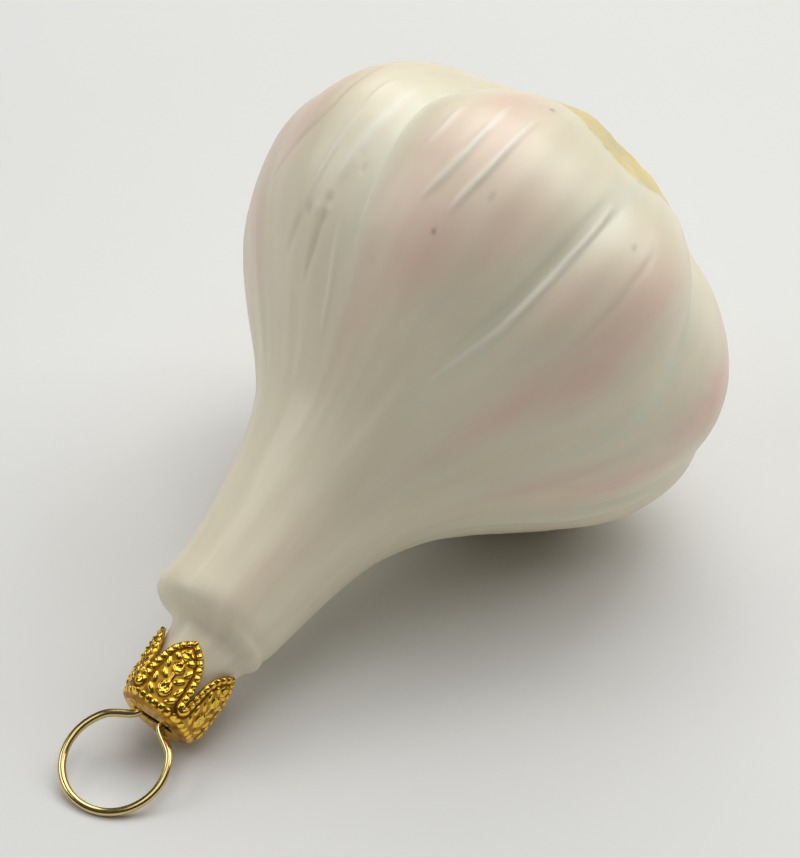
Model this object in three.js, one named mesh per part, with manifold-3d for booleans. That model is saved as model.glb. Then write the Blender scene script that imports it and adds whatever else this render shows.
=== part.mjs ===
// A blown-glass hanging ornament in the form of a garlic bulb, lying on its side.
// Millimetres, +Z up. Three pieces: the hollow glass, the pressed crown cap over its
// open pipe, and the spring wire hanger whose legs pass through the cap into the pipe.
//
// Each piece is drawn about its own long axis first: +X runs towards the root end,
// x = 0 is the widest section, and -Z is the side that will face the table.
// The whole ornament is then tilted so that the lowest point of the wire ring and the
// two lowest cloves touch the table together.

import * as THREE from 'three';
import { mergeVertices } from 'three/addons/utils/BufferGeometryUtils.js';
import Module from 'manifold-3d';

const wasm = await Module();
wasm.setup();

// Glass: half outline from the middle of the root plate to the end of the leaf stalk
const ROOT_DOME = [[23.6, 0], [23.4, 4.0], [22.9, 7.3], [21.9, 9.6], [20.8, 10.9]];
const SHOULDER = [[20.3, 12.1], [19.8, 13.2], [18.7, 15.1], [16.9, 18.0], [14.2, 22.4]];
const BELLY = [[10.6, 26.2], [6.2, 28.9], [1.3, 29.7], [-4, 28.5], [-8.5, 26.3]];
const NECK = [[-12.5, 23.1], [-16.3, 19.4], [-20, 15.7], [-24, 12.5], [-29.4, 9.9]];
const STALK = [[-34.2, 8.6], [-38.5, 7.9], [-43, 7.4], [-46.2, 7.15], [-47.6, 6.5]];
const STALK_END_X = -48.5;
const PIPE_ROOT_RADIUS = 4.65;
const PIPE_END_X = -58.3;
const PIPE_END_RADIUS = 3.15;
const WALL = 1.05;
const PIPE_WALL = 0.8;
const ROWS_PER_STEP = 2;
const COLUMNS_PER_CLOVE = 6;

// The valleys between the cloves, in order round the axis from the side that faces the
// table: place at the widest section (degrees, right-handed about +X), how far the valley
// turns for each 10 mm towards the root, its depth, the x where it has died out towards
// the neck, and how far the clove after it swells past the plain outline. Banks says how
// steep the valley's two sides are: a high number keeps the clove full right up to it.
// A valley with fadeX dies out between those two places on its way to the root.
const SOFT = [2.2, 2.2];
const VALLEYS = [
  { angle: 0, turn: 0, depth: 2.4, endX: -14, swell: 0.3, banks: SOFT },
  { angle: 36.8, turn: -1, depth: 1.8, endX: -14, swell: 0, banks: SOFT },
  { angle: 68.8, turn: 0, depth: 1.7, endX: -14, swell: 0, banks: SOFT },
  { angle: 100.8, turn: 0, depth: 1.6, endX: -12, swell: -0.6, banks: SOFT },
  { angle: 136.8, turn: -1, depth: 0.4, endX: -14, swell: 0.8, banks: SOFT },
  { angle: 173.5, turn: -3.1, depth: 2.0, endX: -16, swell: 1.0, banks: [1.8, 3.2] },
  { angle: 221.4, turn: 2.6, depth: 0.8, endX: -20, swell: 0.4, banks: [3, 5], fadeX: [12, 4] },
  { angle: 257.3, turn: -4.5, depth: 1.7, endX: -8, swell: 0.1, banks: [2.6, 1.8] },
  { angle: 297.5, turn: 5.5, depth: 1.4, endX: -22, swell: 0.5, banks: SOFT },
  { angle: 326.8, turn: 1.5, depth: 1.7, endX: -14, swell: 0.3, banks: SOFT },
];
const FULL_DEPTH_X = 4;
// Round the root plate the swelling starts first and the valleys a little further out
const SWELL_RISE = [8.5, 13.5];
const VALLEY_RISE = [9.5, 19];
// Towards the neck the swelling dies out between these two places
const SWELL_X = [-22, -2];

// The stalk leans a little to one side of the axis, and its end bulges there as a lip
const LEAN_ANGLE = 302.8;
const STALK_LEAN = -0.6;
const PIPE_LEAN = 0.6;
const STALK_LEAN_X = [-20, -32];
const LIP_ANGLE = 130;
const LIP_HEIGHT = 0.3;
const LIP_X = -46.5;
const LIP_SPREAD = 2.6;
const LIP_REACH = 0.6;
const LIP_FULL_RADIUS = 6.6;

// Cap: a five-petalled cup of pressed sheet over the pipe
const CAP_END_X = -59.1;
const SHEET = 0.35;
const PETALS = 5;
const FIRST_PETAL_ANGLE = 198.8;
// The cup's half outline: height over its plate, and radius
const CAP_OUTLINE = [[0, 3.6], [0.3, 4.15], [0.9, 4.5], [1.9, 4.7], [3.6, 4.88], [6.0, 4.95]];
const CAP_TIP_RADIUS = 5.0;
const PETAL_LENGTH = 8.6;
const CAP_CORNER = 0.045;
const CAP_SIDES = 40;
// Half the gap between two petals, and the height over the plate
const NOTCH = [[0, 1.9], [0.3, 4.6], [0.52, 5.6], [1.0, 6.7], [1.75, 7.55], [2.5, 8.15], [3.0, 8.5]];
// How far the cap's centre line stands aside of the axis, at its plate and at its tips
const CAP_LEAN = [0.9, 0.55];
const SLOT_LENGTH = 5.2;
const SLOT_WIDTH = 1.8;

// Hanger: one spring wire, an open ring with two legs that spread inside the neck
const WIRE_DIAMETER = 0.9;
const RING_RADIUS = 5.7;
const RING_CENTRE_X = -65.0;
const RING_SIDE_ANGLE = 276.8;
const RING_OPEN_HALF_WIDTH = 4.3;
const LEG_AT_PLATE = 1.5;
const HANGER_LEAN = 0.55;
const LEG_END = [-46.5, 2.9];
const WIRE_SIDES = 8;
const WIRE_STEPS = 84;

// The lowest cloves are flattened by this much where they lie on the table
const FLAT_SINK = 0.35;

const radians = THREE.MathUtils.degToRad;

function smoothStep(value) {
  const t = Math.min(Math.max(value, 0), 1);
  return t * t * (3 - 2 * t);
}

function riseBetween([from, to], value) {
  return smoothStep((value - from) / (to - from));
}

// Unit vector across the axis at an angle: 0 faces the table, right-handed about +X
function across(angle) {
  return new THREE.Vector3(0, Math.sin(radians(angle)), -Math.cos(radians(angle)));
}

function leanAt(x) {
  const intoStalk = riseBetween(STALK_LEAN_X, x);
  const intoPipe = riseBetween([STALK_END_X + 2, STALK_END_X], x);
  return STALK_LEAN * intoStalk + (PIPE_LEAN - STALK_LEAN) * intoPipe;
}

// How deep a valley is, and how far a clove swells, at a place on the half outline
function valleyDepth(valley, x, radius) {
  const towardsRoot = x > FULL_DEPTH_X ? riseBetween(VALLEY_RISE, radius) : 1;
  const fade = valley.fadeX ? riseBetween(valley.fadeX, x) : 1;
  return valley.depth * riseBetween([valley.endX, FULL_DEPTH_X], x) * towardsRoot * fade;
}

function swellHeight(valley, x, radius) {
  const towardsRoot = x > FULL_DEPTH_X ? riseBetween(SWELL_RISE, radius) : 1;
  return valley.swell * riseBetween(SWELL_X, x) * towardsRoot;
}

// The lip at the end of the stalk: how far it stands out, and how far it reaches along
function lipShape(angle, x, radius) {
  const side = Math.max(0, Math.cos(radians(angle - LIP_ANGLE)));
  const height = LIP_HEIGHT * side * Math.exp(-(((x - LIP_X) / LIP_SPREAD) ** 2));
  const reach = LIP_REACH * side * riseBetween([LIP_X + 4, LIP_X - 1], x);
  return { height, reach: reach * riseBetween([PIPE_ROOT_RADIUS, LIP_FULL_RADIUS], radius) };
}

// One ring of points round the axis: the outline pushed in at the valleys and out on
// the cloves, along the outline's own normal
function cloveRing(x, radius, normal, wall) {
  const ring = [];
  const count = VALLEYS.length;
  for (let i = 0; i < count; i += 1) {
    const before = VALLEYS[i];
    const after = VALLEYS[(i + 1) % count];
    const start = before.angle + before.turn * x / 10;
    const end = after.angle + after.turn * x / 10 + (i + 1 === count ? 360 : 0);
    const swell = swellHeight(before, x, radius);
    for (let j = 0; j < COLUMNS_PER_CLOVE; j += 1) {
      const u = j / COLUMNS_PER_CLOVE;
      const angle = start * (1 - u) + end * u;
      const depth = valleyDepth(before, x, radius) * (1 - u) + valleyDepth(after, x, radius) * u;
      const bank = u < 0.5 ? before.banks[1] : after.banks[0];
      const valley = depth * Math.abs(2 * u - 1) ** bank;
      const lip = lipShape(angle, x, radius);
      const push = swell * Math.sin(Math.PI * u) ** 2 - valley - wall + lip.height;
      const point = across(angle).multiplyScalar(radius + push * normal.y);
      point.addScaledVector(across(LEAN_ANGLE), leanAt(x));
      point.x = x + push * normal.x - lip.reach;
      ring.push(point);
    }
  }
  return ring;
}

// Rings along a half outline, with a single point where it meets the axis
function ringsAlong(points, wall, rowsPerStep) {
  const curve = new THREE.SplineCurve(points.map(([x, r]) => new THREE.Vector2(x, r)));
  const rows = (points.length - 1) * rowsPerStep;
  const rings = [];
  for (let row = 0; row <= rows; row += 1) {
    const place = curve.getPoint(row / rows);
    const tangent = curve.getTangent(row / rows);
    const normal = new THREE.Vector2(tangent.y, -tangent.x).normalize();
    const onAxis = row === 0 && place.y < 1e-6;
    if (onAxis) rings.push([new THREE.Vector3(place.x - wall, 0, 0)]);
    else rings.push(cloveRing(place.x, place.y, normal, wall));
  }
  return rings;
}

// A closed body from rings that follow one another, each pole a ring of one point
function closedBody(rings) {
  const positions = [];
  const starts = [];
  for (const ring of rings) {
    starts.push(positions.length / 3);
    for (const point of ring) positions.push(point.x, point.y, point.z);
  }
  const index = [];
  for (let row = 0; row + 1 < rings.length; row += 1) {
    const a = starts[row];
    const b = starts[row + 1];
    const n = Math.max(rings[row].length, rings[row + 1].length);
    for (let i = 0; i < n; i += 1) {
      const next = (i + 1) % n;
      if (rings[row].length > 1) index.push(a + i, a + next, b + (rings[row + 1].length > 1 ? i : 0));
      if (rings[row + 1].length > 1) index.push(a + (rings[row].length > 1 ? next : 0), b + next, b + i);
    }
  }
  const geometry = new THREE.BufferGeometry();
  geometry.setAttribute('position', new THREE.Float32BufferAttribute(positions, 3));
  geometry.setIndex(index);
  return facingOut(geometry);
}

function signedVolume(geometry) {
  const p = geometry.attributes.position;
  const index = geometry.index.array;
  const [a, b, c] = [new THREE.Vector3(), new THREE.Vector3(), new THREE.Vector3()];
  let volume = 0;
  for (let i = 0; i < index.length; i += 3) {
    a.fromBufferAttribute(p, index[i]);
    b.fromBufferAttribute(p, index[i + 1]);
    c.fromBufferAttribute(p, index[i + 2]);
    volume += a.dot(b.cross(c)) / 6;
  }
  return volume;
}

function facingOut(geometry) {
  if (signedVolume(geometry) < 0) geometry.index.array.reverse();
  return geometry;
}

function glassGeometry() {
  const outline = [...ROOT_DOME, ...SHOULDER, ...BELLY, ...NECK, ...STALK];
  const outer = ringsAlong(outline, 0, ROWS_PER_STEP);
  const along = new THREE.Vector2(0, 1);
  const flatRing = (x, radius) => cloveRing(x, radius, along, 0);
  const pipeRadius = (x) => THREE.MathUtils.mapLinear(
    x, STALK_END_X, PIPE_END_X, PIPE_ROOT_RADIUS, PIPE_END_RADIUS);
  const shoulder = [
    flatRing(STALK_END_X + 0.25, 5.6),
    flatRing(STALK_END_X, PIPE_ROOT_RADIUS + 0.25),
    flatRing(STALK_END_X - 0.4, PIPE_ROOT_RADIUS - 0.1),
  ];
  const pipe = [-52, PIPE_END_X].map((x) => flatRing(x, pipeRadius(x)));
  const bore = [PIPE_END_X, -52, STALK_END_X].map((x) => flatRing(x, pipeRadius(x) - PIPE_WALL));
  const insideShoulder = [flatRing(-46.6, 4.9), flatRing(-45.2, 5.9)];
  const hollow = ringsAlong(outline.slice(0, -2), WALL, 1).reverse();
  return closedBody([...outer, ...shoulder, ...pipe, ...bore, ...insideShoulder, ...hollow]);
}

// Solids for cutting and joining
function toSolid(geometry) {
  const bare = geometry.index ? geometry.toNonIndexed() : geometry.clone();
  bare.deleteAttribute('normal');
  bare.deleteAttribute('uv');
  const merged = mergeVertices(bare, 1e-5);
  return new wasm.Manifold(new wasm.Mesh({
    numProp: 3,
    vertProperties: new Float32Array(merged.attributes.position.array),
    triVerts: new Uint32Array(merged.index.array),
  }));
}

function fromSolid(solid) {
  const mesh = solid.getMesh();
  const geometry = new THREE.BufferGeometry();
  geometry.setAttribute('position', new THREE.BufferAttribute(new Float32Array(mesh.vertProperties), 3));
  geometry.setIndex(new THREE.BufferAttribute(new Uint32Array(mesh.triVerts), 1));
  return geometry;
}

// A solid loft of the cap's rounded five-sided section, from [height, radius] rows
function capLoft(rows) {
  const rings = rows.map(([height, radius]) => {
    const ring = [];
    const squareness = CAP_CORNER * riseBetween([0, 1.5], height) * riseBetween([PETAL_LENGTH, 1.5], height);
    for (let i = 0; i < CAP_SIDES; i += 1) {
      const angle = FIRST_PETAL_ANGLE + 360 * i / CAP_SIDES;
      const r = radius * (1 - squareness * Math.cos(radians(PETALS * 360 * i / CAP_SIDES)));
      const point = across(angle).multiplyScalar(r);
      point.x = CAP_END_X + height;
      ring.push(point);
    }
    return ring;
  });
  const first = new THREE.Vector3(rings[0][0].x, 0, 0);
  const last = new THREE.Vector3(rings.at(-1)[0].x, 0, 0);
  return closedBody([[first], ...rings, [last]]);
}

// The cup's two faces as [height, radius] rows, up past the tips of the petals
function cupRows(inset) {
  const above = PETAL_LENGTH + 1;
  const rows = [...CAP_OUTLINE, [above, CAP_TIP_RADIUS]];
  return rows.map(([height, radius]) => [height + inset * Math.exp(-height), radius - inset]);
}

// The space between two petals: a narrow V that opens into the two pointed tips
function notchSolid(index) {
  const shape = new THREE.Shape();
  const top = PETAL_LENGTH + 2;
  shape.moveTo(0, NOTCH[0][1]);
  for (const [side, height] of NOTCH.slice(1)) shape.lineTo(side, height);
  shape.lineTo(NOTCH.at(-1)[0], top);
  shape.lineTo(-NOTCH.at(-1)[0], top);
  for (const [side, height] of NOTCH.slice(1).reverse()) shape.lineTo(-side, height);
  const depth = CAP_TIP_RADIUS + 3;
  const cutter = new THREE.ExtrudeGeometry(shape, { depth, bevelEnabled: false });
  // The drawn shape's height runs along the axis, and its depth runs outwards
  const outward = across(FIRST_PETAL_ANGLE + (index + 0.5) * 360 / PETALS);
  const axis = new THREE.Vector3(1, 0, 0);
  const sideways = new THREE.Vector3().crossVectors(axis, outward);
  const place = new THREE.Matrix4().makeBasis(sideways, axis, outward);
  place.setPosition(CAP_END_X, 0, 0);
  return toSolid(cutter.applyMatrix4(place));
}

function capGeometry() {
  const outside = cupRows(0);
  const inside = cupRows(SHEET);
  inside.at(-1)[0] += 1;
  let cap = toSolid(capLoft(outside)).subtract(toSolid(capLoft(inside)));
  for (let i = 0; i < PETALS; i += 1) cap = cap.subtract(notchSolid(i));
  const slot = new THREE.BoxGeometry(4, SLOT_WIDTH, SLOT_LENGTH);
  const turn = new THREE.Matrix4().makeRotationX(radians(RING_SIDE_ANGLE));
  slot.applyMatrix4(turn).translate(CAP_END_X, 0, 0);
  return leaningCap(fromSolid(cap.subtract(toSolid(slot))));
}

// The cap sits a little askew on the pipe
function leaningCap(geometry) {
  const p = geometry.attributes.position;
  const aside = across(LEAN_ANGLE);
  for (let i = 0; i < p.count; i += 1) {
    const share = (p.getX(i) - CAP_END_X) / PETAL_LENGTH;
    const lean = THREE.MathUtils.lerp(...CAP_LEAN, share);
    p.setXYZ(i, p.getX(i), p.getY(i) + lean * aside.y, p.getZ(i) + lean * aside.z);
  }
  return geometry;
}

function hangerGeometry() {
  const start = Math.asin(RING_OPEN_HALF_WIDTH / RING_RADIUS);
  const side = across(RING_SIDE_ANGLE);
  const place = (x, y) => new THREE.Vector3(x, 0, 0).addScaledVector(side, y);
  const leg = (sign) => [
    place(LEG_END[0], sign * LEG_END[1]),
    place(-50, sign * 2.5),
    place(-54, sign * 1.85),
    place(CAP_END_X + 0.6, sign * (LEG_AT_PLATE + 0.02)),
    place(CAP_END_X - 0.3, sign * (LEG_AT_PLATE + 0.12)),
  ];
  const ring = [];
  const arcSteps = 14;
  for (let i = 0; i <= arcSteps; i += 1) {
    const angle = start + (2 * Math.PI - 2 * start) * i / arcSteps;
    ring.push(place(RING_CENTRE_X + RING_RADIUS * Math.cos(angle), RING_RADIUS * Math.sin(angle)));
  }
  const route = [...leg(1), ...ring, ...leg(-1).reverse()];
  const path = new THREE.CatmullRomCurve3(route, false, 'centripetal');
  const section = new THREE.Shape();
  for (let i = 0; i < WIRE_SIDES; i += 1) {
    const angle = 2 * Math.PI * i / WIRE_SIDES;
    const [x, y] = [Math.cos(angle) * WIRE_DIAMETER / 2, Math.sin(angle) * WIRE_DIAMETER / 2];
    if (i === 0) section.moveTo(x, y);
    else section.lineTo(x, y);
  }
  section.closePath();
  const wire = new THREE.ExtrudeGeometry(section, { steps: WIRE_STEPS, extrudePath: path });
  const aside = across(LEAN_ANGLE).multiplyScalar(HANGER_LEAN);
  return fromSolid(toSolid(wire)).translate(...aside.toArray());
}

// How the ornament lies: tilted root end up until wire ring and cloves touch together
function lowestPoint(geometry, tilt) {
  const p = geometry.attributes.position;
  let lowest = Infinity;
  for (let i = 0; i < p.count; i += 1) {
    lowest = Math.min(lowest, p.getX(i) * Math.sin(tilt) + p.getZ(i) * Math.cos(tilt));
  }
  return lowest;
}

function restingTilt(glass, hanger) {
  let [low, high] = [radians(10), radians(35)];
  for (let step = 0; step < 40; step += 1) {
    const middle = (low + high) / 2;
    const ringAbove = lowestPoint(hanger, middle) - lowestPoint(glass, middle) - FLAT_SINK;
    if (ringAbove > 0) low = middle;
    else high = middle;
  }
  return (low + high) / 2;
}

const glass = glassGeometry();
const cap = capGeometry();
const hanger = hangerGeometry();
const tilt = restingTilt(glass, hanger);
const lift = -lowestPoint(hanger, tilt);

const bounds = new THREE.Box3();
for (const geometry of [glass, cap, hanger]) {
  geometry.rotateY(-tilt).translate(0, 0, lift);
  geometry.computeBoundingBox();
  bounds.union(geometry.boundingBox);
}
const middle = bounds.getCenter(new THREE.Vector3());

// The flats: what would reach below the table is pressed level with it
const places = glass.attributes.position;
for (let i = 0; i < places.count; i += 1) places.setZ(i, Math.max(places.getZ(i), 0));

const paintedGlass = new THREE.MeshStandardMaterial({ color: 0xe9e4d6, roughness: 0.35 });
const giltSheet = new THREE.MeshStandardMaterial({ color: 0xd8a43a, roughness: 0.28, metalness: 1 });
const brassWire = new THREE.MeshStandardMaterial({ color: 0xc9ab63, roughness: 0.2, metalness: 1 });

function piece(name, geometry, material) {
  geometry.translate(-middle.x, -middle.y, 0);
  geometry.computeVertexNormals();
  const mesh = new THREE.Mesh(geometry, material);
  mesh.name = name;
  return mesh;
}

const ornament = new THREE.Group();
ornament.add(piece('glass_bulb', glass, paintedGlass));
ornament.add(piece('crown_cap', cap, giltSheet));
ornament.add(piece('wire_hanger', hanger, brassWire));

export default ornament;
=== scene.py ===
# %% [markdown]
# # A blown-glass garlic bulb ornament
# The real thing is a thin hollow glass bulb, blown into a mould with ten cloves, painted
# in pearly white with blushes of rose, and hung from a pressed gilt cap and a brass wire.
# Three pieces show, and each is dressed here: the glass, the cap and the wire.
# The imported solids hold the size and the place, and every piece built below keeps to them.

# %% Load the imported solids
import math

import bpy
import numpy as np
from mathutils import Matrix, Vector


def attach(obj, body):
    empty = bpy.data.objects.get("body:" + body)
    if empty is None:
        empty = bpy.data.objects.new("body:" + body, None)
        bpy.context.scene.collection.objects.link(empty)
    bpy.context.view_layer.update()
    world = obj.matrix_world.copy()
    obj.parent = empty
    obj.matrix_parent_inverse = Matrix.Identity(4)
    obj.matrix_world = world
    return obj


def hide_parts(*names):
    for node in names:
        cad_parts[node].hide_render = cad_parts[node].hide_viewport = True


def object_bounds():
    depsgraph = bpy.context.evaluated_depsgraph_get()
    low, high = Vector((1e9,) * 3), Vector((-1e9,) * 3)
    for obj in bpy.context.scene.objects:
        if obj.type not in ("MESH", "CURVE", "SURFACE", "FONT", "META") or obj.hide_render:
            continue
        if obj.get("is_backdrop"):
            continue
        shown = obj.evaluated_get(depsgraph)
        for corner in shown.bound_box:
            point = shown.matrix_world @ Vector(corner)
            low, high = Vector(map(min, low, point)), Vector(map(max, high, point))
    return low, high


MM = 0.001
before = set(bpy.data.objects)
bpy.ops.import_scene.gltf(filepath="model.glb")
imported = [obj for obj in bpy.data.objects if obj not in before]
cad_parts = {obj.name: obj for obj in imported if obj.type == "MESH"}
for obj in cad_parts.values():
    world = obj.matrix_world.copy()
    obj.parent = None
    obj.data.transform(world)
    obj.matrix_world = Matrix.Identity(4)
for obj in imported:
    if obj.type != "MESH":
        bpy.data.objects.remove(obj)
low, high = (np.array(corner, float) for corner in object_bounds())
size = {"cad": [low.tolist(), high.tolist()]}
print("box in mm:", np.round((high - low) / MM, 2))

# %% [markdown]
# ## The shape of the glass
# A mould-blown bulb has one smooth half outline, and the mould presses the valleys into
# it. The same outline and the same ten valleys that made the solid are drawn again here,
# much finer, so that the marks which the glassblower and the painter left can be added.
# Only the shoulder at the stalk's end is a little softer than the solid's.

# %% Outline and valleys, in mm along and about the bulb's own axis
OUTLINE = [
    (23.6, 0), (23.4, 4.0), (22.9, 7.3), (21.9, 9.6), (20.8, 10.9),
    (20.3, 12.1), (19.8, 13.2), (18.7, 15.1), (16.9, 18.0), (14.2, 22.4),
    (10.6, 26.2), (6.2, 28.9), (1.3, 29.7), (-4, 28.5), (-8.5, 26.3),
    (-12.5, 23.1), (-16.3, 19.4), (-20, 15.7), (-24, 12.5), (-29.4, 9.9),
    (-34.2, 8.6), (-38.5, 7.9), (-43, 7.35), (-46, 6.95), (-47.6, 6.15),
]
STALK_END = -48.5
PIPE_END = -58.3
PIPE_RADIUS = (4.65, 3.15)
# Each valley: angle from the side on the table, turn per 10 mm, depth, end towards the
# neck, swell of the clove after it, how full its two banks are, and the number of points
# across that clove, most on the three cloves that carry nearly all the marks
SOFT = (2.2, 2.2)
VALLEYS = [
    (0, 0, 2.4, -14, 0.3, SOFT, 26),
    (36.8, -1, 1.8, -14, 0, SOFT, 26),
    (68.8, 0, 1.7, -14, 0, SOFT, 26),
    (100.8, 0, 1.6, -12, -0.6, SOFT, 40),
    (136.8, -1, 0.4, -14, 0.8, SOFT, 84),
    (173.5, -3.1, 2.0, -16, 1.0, (1.8, 3.2), 108),
    (221.4, 2.6, 0.8, -20, 0.4, (3, 5), 72),
    (257.3, -4.5, 1.7, -8, 0.1, (2.6, 1.8), 36),
    (297.5, 5.5, 1.4, -22, 0.5, SOFT, 26),
    (326.8, 1.5, 1.7, -14, 0.3, SOFT, 26),
]
# The front valley dies out between these two places on its way to the root
FRONT_VALLEY = 6
FRONT_FADE_X = (12, 4)
# Away from the root the valleys have their full depth, and the swellings their height,
# and both fade out at the root between these two radii
FULL_DEPTH_X = 4
SWELL_RISE = (8.5, 13.5)
VALLEY_RISE = (9.5, 19)
SWELL_X = (-22, -2)
# The stalk leans a little to one side, and the pipe back to the other
LEAN_ANGLE = 302.8
STALK_LEAN = -0.6
PIPE_LEAN = 0.6
STALK_LEAN_X = (-20, -32)
# One side of the stalk's end swells into a lip
LIP_ANGLE = 130
LIP_HEIGHT = 0.55
LIP_X = -46.5
LIP_SPREAD = 2.6
LIP_REACH = 0.6
LIP_FULL_RADIUS = 6.6
LIP_REACH_X = (-42.5, -47.5)
print("cloves:", len(VALLEYS), "and points round the bulb:", sum(v[-1] for v in VALLEYS))


# %% Helpers: a smooth rise, a direction across the axis, the lean, and a smooth curve
def rise(span, value):
    """0 before the span, 1 after it, and smooth between."""
    t = np.clip((value - span[0]) / (span[1] - span[0]), 0, 1)
    return t * t * (3 - 2 * t)


def across(angle):
    """The unit vector across the axis at an angle; 0 faces the table."""
    a = np.radians(angle)
    return np.stack([np.zeros_like(a), np.sin(a), -np.cos(a)], -1)


def lean(x):
    into_pipe = rise((STALK_END + 2, STALK_END), x)
    return STALK_LEAN * rise(STALK_LEAN_X, x) + (PIPE_LEAN - STALK_LEAN) * into_pipe


def smooth_curve(points, t):
    """Points and directions of a smooth curve through the given points."""
    points = np.array(points, float)
    place = t * (len(points) - 1)
    i = np.minimum(place.astype(int), len(points) - 2)
    w = (place - i)[:, None]
    before = points[np.maximum(i - 1, 0)]
    start, end = points[i], points[i + 1]
    after = points[np.minimum(i + 2, len(points) - 1)]
    v0, v1 = (end - before) / 2, (after - start) / 2
    cubic = 2 * start - 2 * end + v0 + v1
    square = 3 * end - 3 * start - 2 * v0 - v1
    value = ((cubic * w + square) * w + v0) * w + start
    return value, (3 * cubic * w + 2 * square) * w + v0


# %% Where the ornament lies: its own axis tilted, root end up, in the frame of the solids
POLE = np.array([42.845, -0.002, 35.985])
TILT = math.radians(21.9102)
AXIS = np.array([math.cos(TILT), 0, math.sin(TILT)])
UPRIGHT = np.array([-math.sin(TILT), 0, math.cos(TILT)])
MIDDLE = POLE - OUTLINE[0][0] * AXIS
print("middle of the bulb in mm:", np.round(MIDDLE, 2))


def to_world(points):
    """Millimetres about the bulb's own axis to metres in the frame."""
    turned = points[..., :1] * AXIS + points[..., 2:] * UPRIGHT
    turned[..., 1] += points[..., 1]
    return np.clip((turned + MIDDLE) * MM, low, high)


# %% [markdown]
# ## Marks in the glass
# Blown glass and brushed paint are never quite even. Long low ridges run down the fat
# cloves, a few short creases and dimples lie near the neck, and the mould leaves a sharp
# seam at the bottom of one valley. A bump map would leave the outline smooth, so they are
# real relief, a few tenths of a millimetre high.

# %% Named marks: half width and height in mm, then points (x in mm, angle in degrees)
LONG_MARKS = {
    "left ridge of the top clove": (0.5, 0.34, [
        (9.4, 190.6), (4.9, 191.7), (1.3, 191.6), (-1.6, 190.7), (-4.4, 188.9)]),
    "right ridge of the top clove": (0.42, 0.34, [
        (9.2, 197.4), (4.4, 197.6), (0.4, 197.3), (-4.4, 195.8)]),
    "short ridge beside them": (0.35, 0.16, [(6.4, 182.8), (2.7, 183.3), (-1, 182.8)]),
    "near streak of the upper clove": (0.3, 0.2, [
        (1.5, 163.4), (-2.6, 162.9), (-5, 162.3), (-7.1, 161.1), (-9.2, 159.4)]),
    "broad streak of the upper clove": (0.8, 0.3, [
        (9, 166.6), (3.1, 168.8), (-0.7, 168.2), (-3.4, 167.8), (-6.2, 167.1)]),
    "thin streak above them": (0.3, 0.14, [(7, 162.3), (2.5, 162.9)]),
    "left crease below the crumple": (0.5, -0.16, [
        (-9.8, 159.4), (-11.5, 157), (-13.4, 153.4)]),
    "right crease below the crumple": (0.45, -0.22, [
        (-9.6, 166.1), (-11.3, 165.4), (-12.4, 164.8), (-15, 162.6)]),
    "fine ridge beside it": (0.35, 0.14, [(-10, 171.2), (-14.8, 172.7), (-18.5, 172.6)]),
    "seam of the front valley": (0.36, 0.27, [
        (7.4, 221.4), (3.1, 221.3), (-1, 220.9), (-5.5, 220.5), (-10.5, 220.2), (-17, 216)]),
    "groove beside the seam": (0.6, -0.1, [
        (8, 219.6), (2, 218.4), (-1.9, 218.2), (-8, 217.4), (-15, 214)]),
    "second crease of the front clove": (0.5, -0.14, [
        (6.4, 234), (2, 233.7), (-2, 234.2), (-6.5, 234.4)]),
    "edge of the side clove": (0.4, -0.18, [
        (9.5, 154.5), (5.5, 155.9), (1.1, 156), (-1.1, 154.5), (-3.6, 150), (-7, 141)]),
    "fold above the lowest clove": (0.6, 0.22, [
        (-4, 299.8), (-10.4, 297.4), (-14, 298.2), (-20, 293.5)]),
}
# Round marks: x, angle, radius and height
ROUND_MARKS = {
    "upper dimple": (-3.2, 169.4, 0.28, -0.16),
    "lower dimple": (-4.4, 171.1, 0.3, -0.18),
    "left of the crumple": (-9.5, 161.2, 0.5, -0.2),
    "middle of the crumple": (-9.3, 163.6, 0.45, 0.16),
    "right of the crumple": (-8.3, 166.5, 0.45, -0.18),
    "end of the crumple": (-9.8, 166.2, 0.5, -0.2),
}
print("marks:", len(LONG_MARKS), "long and", len(ROUND_MARKS), "round")

# %% How high the marks stand at each place, and the painted highlight on their crests and painted shade in their creases
# A long mark this high shows its full share of painted highlight and shade, and a round one
# always shows part
FULL_PAINTED_SHADING_HEIGHT = 0.27
ROUND_PAINTED_SHADING = 0.6


def angle_gap(a, b):
    """How far angle a lies past angle b, from -180 to 180 degrees."""
    return (a - b + 180) % 360 - 180


def distance_to(path, x, angle, radius):
    """Distance in mm from each place on the surface to a drawn path, and the share along it."""
    nearest = np.full(x.shape, np.inf)
    along = np.zeros(x.shape)
    for k, ((x0, a0), (x1, a1)) in enumerate(zip(path, path[1:])):
        dx, da = x1 - x0, math.radians(a1 - a0) * radius
        px = x - x0
        pa = np.radians(angle_gap(angle, a0)) * radius
        t = np.clip((px * dx + pa * da) / (dx * dx + da * da), 0, 1)
        distance = np.hypot(px - t * dx, pa - t * da)
        closer = distance < nearest
        nearest = np.where(closer, distance, nearest)
        along = np.where(closer, (k + t) / (len(path) - 1), along)
    return nearest, along


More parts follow.
